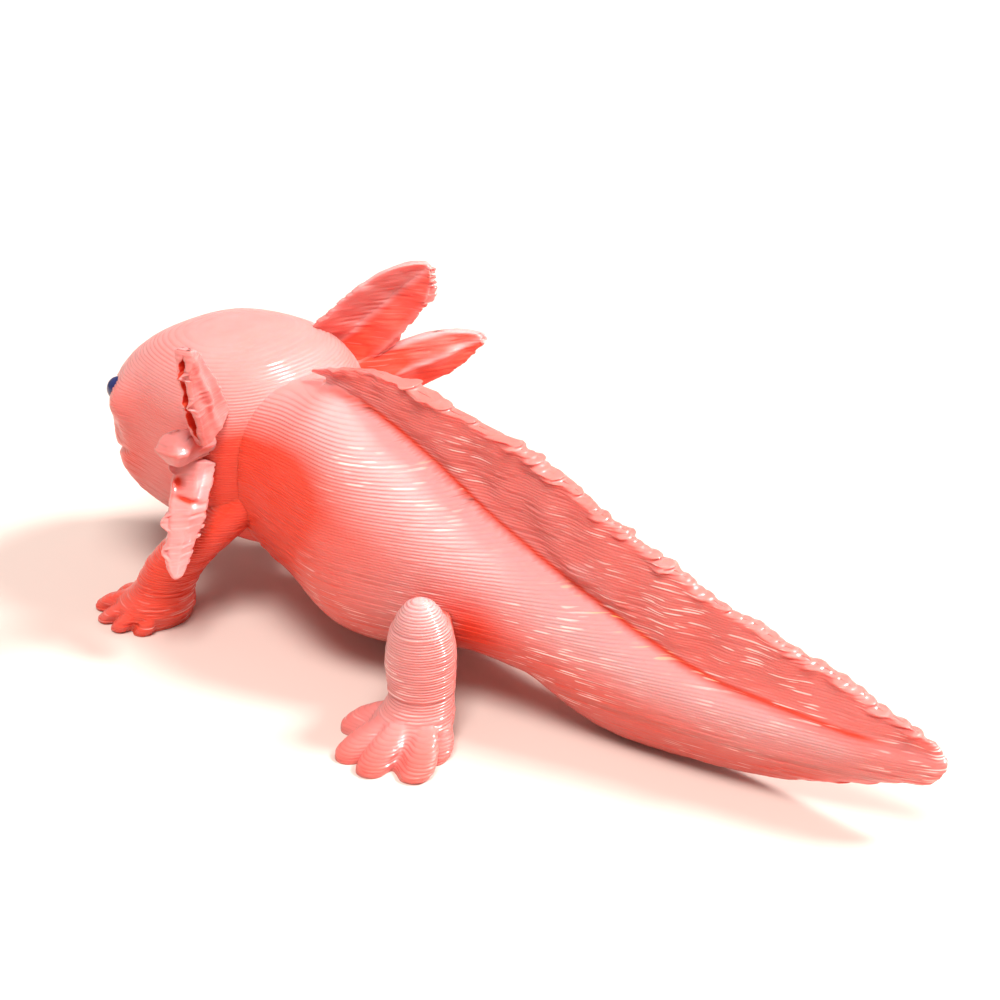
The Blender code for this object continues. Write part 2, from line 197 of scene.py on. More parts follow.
def line(knots, at):
    """Smooth line through (station, value) knots: cubic pieces that share their slopes at the knots."""
    place, value = np.array(knots, dtype=float).T
    slope = np.gradient(value, place)
    i = np.clip(np.searchsorted(place, at, side="right") - 1, 0, len(place) - 2)
    step = place[i + 1] - place[i]
    t = np.clip((at - place[i]) / step, 0.0, 1.0)
    eased = value[i] + (value[i + 1] - value[i]) * t * t * (3.0 - 2.0 * t)
    return eased + step * t * (1.0 - t) * (slope[i] * (1.0 - t) - slope[i + 1] * t)


def ease(t):
    """0 below 0, 1 above 1, and 3 t squared less 2 t cubed between."""
    t = np.clip(t, 0.0, 1.0)
    return t * t * (3.0 - 2.0 * t)


def ramp(value, start, length):
    """0 before start and 1 past its length, eased between; with a negative length it runs back."""
    return ease((value - start) / length)


def bell(distance, reach):
    """Bell curve of a distance: e to the power of minus (distance / reach) squared."""
    return np.exp(-(distance / reach) ** 2)


def spot(a, b, place, reach, size=1.0):
    """Bell of a size round a place in the plane of two coordinates."""
    return size * bell(np.hypot(a - place[0], b - place[1]), reach)


def placed(x, station, z):
    """World points in metres, with the tail's swing: x less the swing times the share along squared."""
    x, station, z = np.broadcast_arrays(x, station, z)
    along = np.clip((station - SWING_START) / (LENGTH - SWING_START), 0.0, 1.0)
    return np.stack([x - TAIL_SWING * along ** 2, station - LENGTH / 2, z], axis=-1) * MM


def ripple(x, station, z, wavelength, seed, each_layer=False):
    """Smooth noise: eight sines along random headings, with new phases for every layer if asked."""
    waves = 8
    roll = np.random.default_rng(seed)
    x, station, z = np.broadcast_arrays(x, station, z)
    total = np.zeros(x.shape)
    shifts = roll.uniform(0.0, 2.0 * np.pi, (waves, LAYERS))
    headings = roll.normal(size=(waves, 3))
    headings /= np.linalg.norm(headings, axis=1)[:, None]
    scales = roll.uniform(0.6, 1.6, waves)
    for heading, scale, shift in zip(headings, scales, shifts):
        turn = 2.0 * np.pi / (wavelength * scale) * (x * heading[0] + station * heading[1])
        if each_layer:
            turn = turn + shift[np.clip((z / LAYER).astype(int), 0, LAYERS - 1)]
        else:
            turn = turn + 2.0 * np.pi / (wavelength * scale) * z * heading[2] + shift[0]
        total += np.sin(turn)
    return total / waves ** 0.5


# ---- head and body: where a layer's outline lies at a height ----

def closing(station, start, length):
    """Rounding off over a span: (1 - share^2.4)^(1/2.4), with the share along the span."""
    power = 2.4
    return (1.0 - np.clip((station - start) / length, 0.0, 1.0) ** power) ** (1.0 / power)


def top_and_bottom(station, rounding):
    """Heights of back and belly, drawn toward the snout's height where the piece rounds off."""
    return [NOSE_HEIGHT + (line(edge, station) - NOSE_HEIGHT) * rounding for edge in (BACK, BELLY)]


def head_half(station, z):
    """Half width of the head: flank times (1 - |u|^n)^(1/n), u the height's share, rounded at both ends."""
    ahead = np.clip(1.0 - station / NOSE, 0.0, 1.0)
    rounding = (1.0 - ahead ** SNOUT_FULLNESS) ** (1.0 / SNOUT_FULLNESS) * closing(station, *HEAD_CLOSING)
    top, bottom = top_and_bottom(station, rounding)
    share = np.abs(z - (top + bottom) / 2) / np.maximum((top - bottom) / 2, 1e-6)
    full = line(FULLNESS, station)
    half = line(FLANK, station) * rounding * (1.0 - np.clip(share, 0.0, 1.0) ** full) ** (1.0 / full)
    return np.where((share < 1.0) & (station > 0.0), half, -1.0)


def head_plan(z, columns=390):
    """Loops round the head's axis: the radius where |x| meets the half width, found by halving."""
    turn = np.linspace(0.0, 2.0 * np.pi, columns, endpoint=False)
    cos, sin = np.cos(turn)[None, :], np.sin(turn)[None, :]
    low = np.zeros((z.shape[0], columns))
    high = np.full_like(low, HEAD_REACH)
    for _ in range(26):
        radius = (low + high) / 2
        station = HEAD_AXIS + radius * sin
        inside = np.abs(radius * cos) < head_half(station, z) + spot(station, z, *BROW)
        low, high = np.where(inside, radius, low), np.where(inside, high, radius)
    radius = (low + high) / 2
    x, station = radius * cos, HEAD_AXIS + radius * sin
    # a groove for the mouth runs round the snout and rises toward its corner below the eye
    lip = LIP_HEIGHT + LIP_RISE * ramp(station, *LIP_SPAN)
    mouth = MOUTH_DEPTH * bell(z - lip, MOUTH_REACH) * (1.0 - ramp(station, *MOUTH_END))
    cheek = spot(station, z, *CHEEK) - spot(station, z, *CHEEK_HOLLOW)
    nostril = spot(np.abs(x), z, *NOSTRIL) * (station < NOSTRIL_END)
    scale = 1.0 + (cheek - mouth - nostril) / np.maximum(radius, 0.5)
    return x * scale, HEAD_AXIS + (station - HEAD_AXIS) * scale


def body_half(station, z):
    """Half width of flesh and fins together.

    The flesh is flank times (1 - |u|^n)^(1/n), drawn down to a wedge below the tail's middle. It is joined
    with the fin's blade as the root of the sum of their powers.
    """
    rounding = closing(station, *BODY_CLOSING)
    top, bottom = top_and_bottom(station, rounding)
    full = line(FULLNESS, station)
    middle = (top + bottom) / 2
    wedge = ramp(station, *WEDGE_SPAN)
    foot = bottom + (line(KEEL, station) - bottom) * wedge
    down = np.clip((middle - z) / (middle - foot), 0.0, 1.0)
    up = np.clip((z - middle) / np.maximum(top - middle, 0.01), 0.0, 1.0)
    share = np.where(z > middle, up, down)
    power = np.where(z > middle, full, full - (full - WEDGE_FULLNESS) * wedge)
    flesh = line(FLANK, station) * rounding * (1.0 - share ** power) ** (1.0 / full)
    rise = np.clip((z - top) / np.maximum(line(CREST, station) - top, 0.2), 0.0, 1.0)
    grown = DORSAL_FIRST_SHARE + (1.0 - DORSAL_FIRST_SHARE) * ramp(station, *DORSAL_START)
    dorsal = (DORSAL_HALF[0] + (DORSAL_HALF[1] - DORSAL_HALF[0]) * rise) * grown
    blade = np.where(z > middle, dorsal, VENTRAL_HALF * wedge)
    blade = blade * np.clip((LENGTH - station) / THINNING, THINNEST, 1.0)
    return (flesh ** BLEND + np.maximum(blade, 0.02) ** BLEND) ** (1.0 / BLEND)


def crossing(edge, first, last, z, samples=SAMPLES):
    """Station between two others at which a main line, rising or falling only, is at a height."""
    station = np.linspace(first, last, samples)
    height = edge(station) if callable(edge) else line(edge, station)
    if height[0] > height[-1]:
        station, height = station[::-1], height[::-1]
    return np.interp(z, np.maximum.accumulate(height), station)


def strip_plan(first, last, z, columns, rounds=8):
    """Loops round a long strip from station first to last, with half circles at its ends.

    Where the strip is the dorsal fin's blade, it leans in slow and quick waves, and blobs swell its rear
    end and its crest.
    """
    blunt_rear = np.minimum(body_half(last - 0.4, z), REAR_BLUNT)
    blunt_front = np.minimum(body_half(first + 0.4, z), FRONT_BLUNT)
    turn = np.linspace(0.0, np.pi / 2, rounds, endpoint=False)[None, :]
    middle = np.linspace(0.0, 1.0, columns)[None, :]
    front = first + blunt_front * (1.0 - np.cos(turn))
    rear = last - blunt_rear * (1.0 - np.cos(turn))[:, ::-1]
    between = first + blunt_front + (last - blunt_rear - first - blunt_front) * middle
    station = np.concatenate([front, between, rear], axis=1)
    ends = np.concatenate([np.sin(turn), np.ones_like(middle), np.sin(turn)[:, ::-1]], axis=1)
    blade = ramp(z - line(BACK, station), *BLADE_START)
    end_blob = bell(last - 0.35 - station, 0.45) * (0.6 + ripple(0.0, 0.0, z, 1.0, 41, each_layer=True))
    near_crest = bell(line(CREST, station) - 0.1 - z, 0.3) * ramp(station, 26.0, -6.0)
    crest_blob = np.maximum(ripple(0.0, station, z, 1.1, 43) + 0.3, 0.0) * near_crest
    blob = np.maximum(END_BLOB * end_blob, 0.0) + CREST_BLOB * crest_blob
    half = (body_half(station, z) + blob * blade) * ends
    lean = LEAN * ripple(0.0, station, z, LEAN_WAVE, 5) + FLUTTER * ripple(0.0, station, z, FLUTTER_WAVE, 6)
    x = np.concatenate([half + lean * blade, (lean * blade - half)[:, ::-1]], axis=1)
    return x, np.concatenate([station, station[:, ::-1]], axis=1)


def body_edge(part):
    """Function that gives the height of the flesh's top or bottom, rounded off inside the head."""
    return lambda station: top_and_bottom(station, closing(station, *BODY_CLOSING))[part]


def upper_plan(z, columns=162):
    """Body loops from inside the head to the rear edge of the tail's blade, torn a little there."""
    last = np.where(z > 3.6, crossing(CREST, 18.3, LENGTH, z, 2 * SAMPLES), crossing(KEEL, 36.4, LENGTH, z))
    ragged = TEAR * (ripple(0.0, 0.0, z, 0.9, 11, each_layer=True) + ripple(0.0, 0.0, z, 1.3, 12))
    last = last + ragged * ramp(last, 46.5, -3.0) * (1.0 + 2.5 * ramp(z, 11.8, 1.5))
    above, below = (crossing(body_edge(part), 9.8, 13.4, z) for part in (0, 1))
    first = np.where(z > NOSE_HEIGHT, above, below)
    torn = 0.3 * ripple(0.0, 0.0, z, 0.6, 17, each_layer=True) * ramp(z, 12.6, 0.5)
    first = np.where(z > 12.4, crossing(CREST, 12.5, 18.2, z) + torn, first)
    return strip_plan(first, np.maximum(last, first + 0.5), z, columns)


def belly_plan(z, columns=110):
    """Body loops below the tail: from the breast to the groin."""
    first = crossing(BELLY, 10.8, 17.6, z)
    return strip_plan(first, np.maximum(crossing(BELLY, 18.6, 27.0, z), first + 0.5), z, columns)


def tail_fin_plan(z, columns=130):
    """Loops of the fin below the tail."""
    first = crossing(KEEL, 27.0, 33.0, z) + TEAR / 2 * ripple(0.0, 0.0, z, 0.9, 14, each_layer=True)
    last = crossing(KEEL, 36.4, LENGTH, z) + TEAR * ripple(0.0, 0.0, z, 0.9, 13, each_layer=True)
    return strip_plan(first, last, z, columns)


# ---- legs ----

def finger(turn, heading, reach, half_width):
    """Polar radius of a round-ended finger: the tip's circle ahead, straight sides, a circle behind."""
    off = turn - np.radians(heading)
    centre = np.maximum(reach - half_width, 0.0)
    sine = np.abs(np.sin(off))
    tip = centre * np.cos(off) + np.sqrt(np.maximum(half_width ** 2 - (centre * sine) ** 2, 0.0))
    side = half_width / np.maximum(sine, 1e-3)
    touches = (centre * sine < half_width) & (tip * np.cos(off) > centre)
    radius = np.where(touches, tip, np.minimum(side, reach))
    return np.where(np.cos(off) > 0.0, radius, half_width)


def leg_plan(leg, shift, z, columns=260):
    """Loops round a leg: the root of the sum of the powers of shaft, toes and thigh."""
    turn = np.linspace(0.0, 2.0 * np.pi, columns, endpoint=False)[None, :]
    x = line([(height, place[0]) for height, place in leg["path"]], z) + shift[0]
    station = line([(height, place[1]) for height, place in leg["path"]], z) + shift[1]
    above = np.clip(1.0 - (leg["top"] - z) / DOME, 0.0, 1.0)
    shaft = line(leg["radius"], z) * np.sqrt(np.maximum(0.0004, 1.0 - above ** 2))
    total = (shaft * np.ones_like(turn)) ** JOIN
    under = 1.0 - SOLE_ROUNDING[1] * np.clip(1.0 - z / SOLE_ROUNDING[0], 0.0, 1.0) ** 2
    toes = np.zeros_like(total)
    for heading, reach, width, height in leg["toes"]:
        rise = np.clip(z / height, 0.0, 1.0)
        far = shaft * 0.6 + (reach - shaft * 0.6) * (1.0 - rise ** 2) ** 0.6 * under
        toe = finger(turn, heading, far, width * np.sqrt(1.0 - rise ** 2) * under)
        toes += toe ** TOE_JOIN * (rise < 0.99)
    total += toes ** (JOIN / TOE_JOIN)
    if leg["thigh"]:
        heading, reach = leg["thigh"]
        high = np.sqrt(np.clip(1.0 - ((z - THIGH_SPAN[0]) / THIGH_SPAN[1]) ** 2, 0.0, 1.0))
        total += finger(turn, heading, shaft + (reach - shaft) * high, shaft * 0.8) ** JOIN * (high > 0)
    radius = total ** (1.0 / JOIN)
    return x + radius * np.cos(turn), station + radius * np.sin(turn)


# ---- gills ----

class Leaf:
    """A gill: a leaf in its own plane, cut by level planes into thin strips."""

    def __init__(self, root, tip, seed, **measures):
        """Keep the leaf's measures, and its directions along, across, level, steep and out."""
        self.root, self.seed = np.array(root), seed
        self.measures = measures
        self.length = np.linalg.norm(np.array(tip) - self.root)
        self.along = (np.array(tip) - self.root) / self.length
        across = np.cross(self.along, measures["facing"])
        self.across = across / np.linalg.norm(across)
        self.facing = np.cross(self.across, self.along)
        level = np.cross(self.facing, (0.0, 0.0, 1.0))
        self.level = level / np.linalg.norm(level)
        self.steep = np.cross(self.level, self.facing)
        self.steep = self.steep * np.sign(self.steep[2])
        self.out = self.facing[:2] / np.hypot(*self.facing[:2])

    def noise(self, level, depth, z, wavelength, seed, each_layer=False):
        """The leaf's own ripple."""
        return ripple(level, depth, z, wavelength, self.seed + seed, each_layer=each_layer)

    def width(self, u):
        """Half width at a share of the length: the shares' line, closed at the tip by (1 - u^9)^(1/2)."""
        u = np.clip(u, 0.0, 1.0)
        return self.measures["half_width"] * line(self.measures["shares"], u) * (1.0 - u ** 9) ** 0.5 + 1e-4

    def plane(self, level, z):
        """Share of the length, distance across, and climb of a place in the leaf's plane."""
        climb = (z - self.root[2]) / self.steep[2]
        u = (level * (self.level @ self.along) + climb * (self.steep @ self.along)) / self.length
        return u, level * (self.level @ self.across) + climb * (self.steep @ self.across), climb

    def strip(self, z):
        """First and last place of the leaf along its level line at a height; the same where it has none."""
        steps = 3600
        guess = np.linspace(-9.0, 9.0, steps)[None, :]
        u, off, _ = self.plane(guess, z)
        inside = (u > -0.15) & (u < 1.0) & (np.abs(off) < self.width(u))
        some = inside.any(axis=1)
        first = guess[0][np.where(some, inside.argmax(axis=1), steps // 2)][:, None]
        last = guess[0][np.where(some, steps - 1 - inside[:, ::-1].argmax(axis=1), steps // 2)][:, None]
        return first, last

    def span(self):
        """Lowest and highest height at which the strips are long enough to print."""
        z = np.linspace(0.0, 17.0, 1700)[:, None]
        first, last = self.strip(z)
        tall = z[:, 0][(last - first)[:, 0] > 0.3]
        return tall.min(), tall.max()

    def torn_strip(self, z):
        """The strip with a new length in each layer: rough inside, torn outside, most toward the tip."""
        first, last = self.strip(z)
        long_enough = ramp(last - first, 0.3, 1.2)
        rough = [np.abs(self.noise(0.0, 0.0, z, 1.0, i, each_layer=True)) for i in (0, 1)]
        torn = (0.05 + 0.35 * self.measures["uneven"]) * (0.3 + 0.7 * ramp(self.plane(last, z)[0], 0.5, 0.3))
        waved = 0.2 * np.maximum(self.noise(0.0, 0.0, z, 0.9, 5), 0.0)
        return first - 0.1 * rough[0] * long_enough, last + (torn * rough[1] + waved) * long_enough

    def half_thickness(self, between, last, z, wall):
        """Half the leaf's thickness: a rib, noise and a swollen outer end, rounded off toward its edges."""
        u, off, _ = self.plane(between, z)
        share = np.clip(np.abs(off) / self.width(u), 0.0, 1.0)
        rib = 1.0 + 0.5 * bell(off, 0.3) * (1.0 - 0.5 * np.clip(u, 0.0, 1.0))
        swell = 1.0 + 0.2 * self.noise(between, 3.0, z, 1.6, 3)
        swell = swell + self.measures["end_swell"] * bell(last - 0.4 - between, 0.7)
        rounding = self.measures["rounding"]
        edge = np.maximum((1.0 - share ** rounding) ** (1.0 / rounding), 0.3)
        return np.minimum(wall, self.measures["thick"] / 2) * rib * swell * edge

    def gape(self, z):
        """How far the slit stands open at a height, 0 to 1: widest in the middle, and uneven."""
        tall = (z - z.min()) / (z.max() - z.min())
        gape = self.measures["slit"] * ease(np.sin(np.pi * tall) * 2.6 - 0.35) + 0.0 * z
        return np.clip(gape * (0.85 + 0.25 * self.noise(0.0, 0.0, z, 0.7, 9)), 0.0, 1.0)

    def outer_end(self, first, last, wall, gape):
        """Places along the level line and shares of the half thickness round two lips and their slit."""
        places = np.arange(END_LIP.shape[1])
        near = places[None, :] < len(places) // 2
        opening = gape * np.where(near, 0.35, 0.8)
        side_share = np.where(near, 1.0, -1.0) * (opening + (1.0 - opening) * END_LIP)
        in_slit = np.isin(places, places[END_SLIT])
        inset = END_INWARD * np.where(in_slit, gape, 1.0) * np.where(in_slit, SLIT_DEPTH, wall)
        return last - np.minimum(inset, (last - first) * 0.6), side_share, in_slit

    def bends(self, level, z):
        """Sideways set of the leaf's middle, and its painted shade and light: fold, waves, rib and dents."""
        u, off, _ = self.plane(level, z)
        share = np.clip(np.abs(off) / self.width(u), 0.0, 1.0)
        middle = self.measures["fold"] * self.width(u) * (share - 0.5)
        middle = middle + 0.07 * self.noise(level, 0.0, z, 2.4, 2)
        wobble = 0.022 * self.measures["uneven"] * (1.0 - share ** 4)
        middle = middle + wobble * self.noise(level, 0.0, z, 1.8, 11, each_layer=True)
        # painted shade: deeper toward the root and on the turned side of the rib, painted light on the rib
        # and toward the edges, more painted shade in dents that sink in
        shade_and_tone = 0.4 + 0.7 * bell(u * self.length - 0.4, 1.3) + 0.85 * ease(self.measures["turned"] * off / 0.4)
        shade_and_tone = self.measures["shading_strength"] * (shade_and_tone - 0.5 * bell(off, 0.16) - 0.7 * ramp(share, 0.75, 0.25))
        for dent_along, dent_across, reach_along, reach_across, depth in self.measures["dents"]:
            along, across = (u * self.length - dent_along) / reach_along, (off - dent_across) / reach_across
            dent = bell(np.hypot(along, across), 1.0)
            middle = middle + depth * dent
            shade_and_tone = shade_and_tone + 1.4 * dent * (depth < 0)
        return middle, shade_and_tone

    def plan(self, z, columns=62, rounds=7):
        """Loops round each strip, and the painted shade and light of their places.

        The strip's middle line is moved by the leaf's bends, and half its thickness lies to each side. A
        half circle closes the inner end and two lips, with a slit between them, the outer end.
        """
        first, last = self.torn_strip(z)
        wall = np.minimum(self.measures["thick"] / 2, (last - first) / 2.3)
        turn = np.linspace(0.0, np.pi / 2, rounds, endpoint=False)[None, :]
        between = first + wall + (last - first - 2 * wall) * np.linspace(0.0, 1.0, columns)[None, :]
        half = self.half_thickness(between, last, z, wall)
        gape = self.gape(z)
        end_level, side_share, in_slit = self.outer_end(first, last, wall, gape)
        inner = first + wall * (1.0 - np.cos(turn))
        level = np.concatenate([inner, between, end_level, between[:, ::-1], inner[:, ::-1]], axis=1)
        offset = np.concatenate([half[:, :1] * np.sin(turn), half, half[:, -1:] * side_share,
                                 -half[:, ::-1], (-half[:, :1] * np.sin(turn))[:, ::-1]], axis=1)
        middle, shade_and_tone = self.bends(level, z)
        plain = np.zeros((1, rounds + columns))
        # painted shade in the open slit
        shade_and_tone = shade_and_tone + np.concatenate([plain, in_slit[None, :] * 2.0, plain], axis=1) * gape
        side = middle + offset
        climb = self.plane(level, z)[2]
        x = self.root[0] + level * self.level[0] + climb * self.steep[0] + side * self.out[0]
        station = self.root[1] + level * self.level[1] + climb * self.steep[1] + side * self.out[1]
        if self.out[0] * self.level[1] - self.out[1] * self.level[0] > 0.0:
            x, station, shade_and_tone = x[:, ::-1], station[:, ::-1], shade_and_tone[:, ::-1]
        return x, station, shade_and_tone


# ---- colour and wear ----

def painted_shading(x, station, z):
    """Painted shade and light of a place: 0 to 1 for orange-red painted shade in the creases of neck and
    fin, the pits, the cheek, the low sides, the flank and on the fin's blade for light shining through it,
    and below 0 for painted light on the band below the back and on the hind leg.
    """
    side = np.abs(x)
    back = line(BACK, station)
    behind = np.maximum(station - NECK_FOLD[1], 0.0) / NECK_FADE[1]
    behind = behind + np.maximum(NECK_FOLD[0] - station, 0.0) / NECK_FADE[0]
    neck = bell(behind, 1.0) * ramp(z, 11.4, -2.0) * ramp(side, 0.0, 2.5) * (0.6 + 0.4 * ramp(z, 4.0, 4.0))
    fin_root = bell(z - back - 0.06, 0.15) * bell(side - 0.7, 0.22) * ramp(station, 13.5, 2.0)
    arm = spot(station, z, *ARM_PIT) * ramp(side, 2.0, 2.0)
    knee = spot(station, z, *KNEE_PIT) * ramp(side, 5.4, -1.0)
    blade = BLADE_SHADE * ramp(z - back, 0.1, 0.4) * ramp(station, 13.0, 2.0)
    under = UNDER_SHADE * ramp(z, 5.5, -3.0) * (1.0 - spot(station, side, *HIND_LEG))
    flank = FLANK_SHADE * ramp(z - back, -1.6, -1.6)
    cheek = CHEEK_SHADE * ramp(station, 7.0, -3.0) * ramp(z, 9.5, -2.0)
    fore = spot(station, side, *FORE_LEG) * ramp(z, 6.5, -1.5)
    painted_leg_light = spot(station, side, *LIT_LEG) * ramp(side, 4.2, 0.8)
    painted_band_light = BAND_LIGHT * ramp(z - back, -2.3, 1.9) * ramp(side, 0.85, 0.3) * ramp(station, 14.0, 2.0)
    shade_and_tone = neck + fin_root + arm + knee + blade + under + flank + cheek + fore
    return np.clip(shade_and_tone, 0.0, 1.0) - painted_leg_light - painted_band_light


def scuff_and_glint_mask(x, station, height, scuffs_and_glints, start, is_body):
    """Where a surface takes scuffs with pale painted highlights, 0 to 1 on upright walls and in a band below
    the back's edge, and above 1 along the body's crease, where the painted glints are golden."""
    run_x, run_s = (np.roll(a, -1, axis=1) - np.roll(a, 1, axis=1) for a in (x, station))
    outward = np.gradient(x, axis=0) * run_s - np.gradient(station, axis=0) * run_x
    outward = outward / np.hypot(run_x + 1e-9, run_s)
    rise = np.gradient(height, axis=0)
    scuff_glint_amount = scuffs_and_glints * np.abs(rise) / np.hypot(rise + 1e-9, outward)
    scuff_glint_amount = np.clip(scuff_glint_amount * 1.6 - 0.6, 0.0, 1.0) * ramp(station, start, 4.0)
    if is_body:
        above = height - line(BACK, station)
        # a band of pale painted highlight lines below the back's edge, and golden painted glints along the
        # crease
        scuff_glint_amount = np.maximum(scuff_glint_amount, 0.9 * bell(above + 0.7, 0.8) * ramp(station, 15.0, 3.0))
        crease = bell(above + 0.1, 0.25) * bell(np.maximum(np.abs(x) - 0.9, 0.0), 0.9)
        scuff_glint_amount = scuff_glint_amount + 0.85 * crease * ramp(station, 40.0, -6.0) * ramp(station, 18.0, 3.0)
    return scuff_glint_amount


# ---- building ----

def mesh_object(name, places, painted_tone, scuff_glint_amount, material):
    """Quad mesh over rows of closed loops, its coincident points merged, with the painted shade and light and
    the mask of scuffs and painted glints kept as attributes."""
    rows, columns = places.shape[:2]
    here = np.arange(rows - 1)[:, None] * columns + np.arange(columns)
    beside = np.roll(here, -1, axis=1)
    faces = np.stack([here, beside, beside + columns, here + columns], axis=-1).reshape(-1, 4)
    mesh = bpy.data.meshes.new(name)
    mesh.vertices.add(rows * columns)
    mesh.vertices.foreach_set("co", placed(places[..., 0], places[..., 1], places[..., 2]).ravel())
    mesh.loops.add(faces.size)
    mesh.loops.foreach_set("vertex_index", faces.ravel().astype(np.int32))
    mesh.polygons.add(len(faces))
    mesh.polygons.foreach_set("loop_start", np.arange(0, faces.size, 4, dtype=np.int32))
    for label, values in (("painted_light_and_shade", painted_tone), ("scuffs_and_glints", scuff_glint_amount)):
        kept = mesh.attributes.new(label, "FLOAT", "POINT")
        kept.data.foreach_set("value", values.ravel().astype(np.float32))
    mesh.update(calc_edges=True)
    work = bmesh.new()
    work.from_mesh(mesh)
    bmesh.ops.remove_doubles(work, verts=work.verts, dist=2e-6)
    bmesh.ops.dissolve_degenerate(work, edges=work.edges, dist=1e-7)
    work.to_mesh(mesh)
    work.free()
    mesh.validate()
    mesh.shade_smooth()
    mesh.materials.append(material)
    made = bpy.data.objects.new(name, mesh)
    bpy.context.scene.collection.objects.link(made)
    return made


def bead_rows(first, last, joined):
    """Layer, share of its height and inset share of each row from a first layer up to a last one.

    Each layer has a groove, where the inset is 1, and a flat wall between its shares. At a joined end a
    collar follows the next layer's bead, a little further in, to meet the neighbouring piece.
    """
    shares = np.array(BEAD_SHARES)
    layer = np.repeat(np.arange(first, last), len(shares)).astype(float)
    share = np.tile(shares, last - first)
    rows = [np.array([layer, share, np.where(share == 0.0, 1.0, 0.0)])]
    if "below" in joined:
        rows.insert(0, np.array([(first - 1, 1.0 - COLLAR_SHARE, COLLAR_INSET)]).T)
    if "above" in joined:
        rows.append(np.array([(last, 0.0, 1.0), (last, COLLAR_SHARE, COLLAR_INSET)]).T)
    else:
        rows.append(np.array([(last - 1, 1.0, 1.0)]).T)
    return np.concatenate(rows, axis=1)[:, :, None]


def relief(x, station, level, groove, smooth, is_strip, wear, seed):
    """How far each place lies in from its plan: the groove, less deep low down, ripples and a few strands
    that stand out in patches."""
    crisp = GROOVE_LOW + (1.0 - GROOVE_LOW) * ease((level - smooth[0]) / (smooth[1] - smooth[0]))
    if is_strip:
        below = level - line(BACK, station) + BAND_MIDDLE
        crisp = np.maximum(crisp, BAND_GROOVE * bell(below, BAND_REACH))
    inset = groove * crisp
    inset = inset + 0.009 * wear * ripple(x, station, level, 1.3, seed + 21, each_layer=True)
    inset = inset + 0.013 * wear * ripple(x, station, level, 3.5, seed + 22, each_layer=True)
    patch = ramp(ripple(x, station, level, 12.0, 90), -0.2, 0.8)
    strand = ramp(ripple(x, station, level, 2.2, seed + 25, each_layer=True), 0.6, 0.3)
    inset = inset - 0.04 * wear * strand * patch
    room = np.hypot(x - x.mean(axis=1, keepdims=True), station - station.mean(axis=1, keepdims=True))
    return np.minimum(inset, 0.4 * room)


def caps(x, station, is_strip):
    """End rows that close a stack: at the middle of its loop, or folded onto a strip's middle line."""
    ends_x, ends_s = [], []
    for row in (0, -1):
        if is_strip:
            ends_x.append(((x[row] + x[row][::-1]) / 2)[None, :])
            ends_s.append(((station[row] + station[row][::-1]) / 2)[None, :])
        else:
            ends_x.append(np.full((1, x.shape[1]), x[row].mean()))
            ends_s.append(np.full((1, x.shape[1]), station[row].mean()))
    return ends_x, ends_s


def printed(name, plan, low, high, material, follow, groove, side=1.0, is_strip=False, seed=0, wear=1.0,
            joined=(), fold=1.0, smooth=(3.5, 7.0), scuffs_and_glints=1.0, scuff_glint_start=16.0):
    """A printed piece: each layer's outline, taken in by its relief, from height low to high.

    A row at share h of a layer lies at (layer + h) heights, and its outline is taken at
    (layer + 1/2 + (h - 1/2) follow) heights. The relief is measured square to the outline.
    """
    first, last = int(np.floor(low / LAYER + 1e-6)), int(np.ceil(high / LAYER - 1e-6))
    layer, share, groove_share = bead_rows(first, last, joined)
    reach_low = low - LAYER if "below" in joined else low
    reach_high = high + LAYER if "above" in joined else high
    x, station, *shade_and_tone = plan(np.clip((layer + 0.5 + (share - 0.5) * follow) * LAYER, low, high))
    height = np.clip((layer + share) * LAYER, reach_low, reach_high) + np.zeros_like(x)
    run_x = np.roll(x, -1, axis=1) - np.roll(x, 1, axis=1)
    run_s = np.roll(station, -1, axis=1) - np.roll(station, 1, axis=1)
    size = np.maximum(np.hypot(run_x, run_s), 1e-9)
    inset = relief(x, station, (layer + 0.5) * LAYER, groove * groove_share, smooth, is_strip, wear, seed)
    x, station = x - run_s / size * inset, station + run_x / size * inset
    end_x, end_s = caps(x, station, is_strip)
    x = np.concatenate([end_x[0], x, end_x[1]])
    station = np.concatenate([end_s[0], station, end_s[1]])
    height = np.concatenate([height[:1], height, height[-1:]])
    # painted shade and light, as much as fold asks; the gills take none and bring their own from their plan
    painted_tone = fold * painted_shading(x, station, height)
    if shade_and_tone:
        painted_tone = painted_tone + np.concatenate([shade_and_tone[0][:1], shade_and_tone[0], shade_and_tone[0][-1:]])
    scuff_glint_amount = scuff_and_glint_mask(x, station, height, scuffs_and_glints, scuff_glint_start, is_strip and not shade_and_tone)
    x = x * side
    if side < 0:
        x, station, height = x[:, ::-1], station[:, ::-1], height[:, ::-1]
        painted_tone, scuff_glint_amount = painted_tone[:, ::-1], scuff_glint_amount[:, ::-1]
    return mesh_object(name, np.stack([x, station, height], axis=-1), painted_tone, scuff_glint_amount, material)


def eye_ball(name, side, material):
    """Painted dome of an eye: a ball of slightly uneven radius, latitude by longitude."""
    lat = np.linspace(-np.pi / 2, np.pi / 2, 33)[:, None]
    lon = np.linspace(0.0, 2.0 * np.pi, 64, endpoint=False)[None, :]
    x, s, z = np.cos(lat) * np.cos(lon), np.cos(lat) * np.sin(lon), np.sin(lat) + 0.0 * lon
    radius = EYE_RADIUS * (1.0 + 0.02 * ripple(x, s, z, 1.4, 71))
    x, s, z = EYE_PLACE[0] + radius * x, EYE_PLACE[1] + radius * s, EYE_PLACE[2] + radius * z
    places = np.stack([side * x, s, z], axis=-1)
    if side < 0:
        places = places[:, ::-1]
    nothing = np.zeros(places.shape[:2])
    return mesh_object(name, places, nothing, nothing, material)


# ---- materials ----

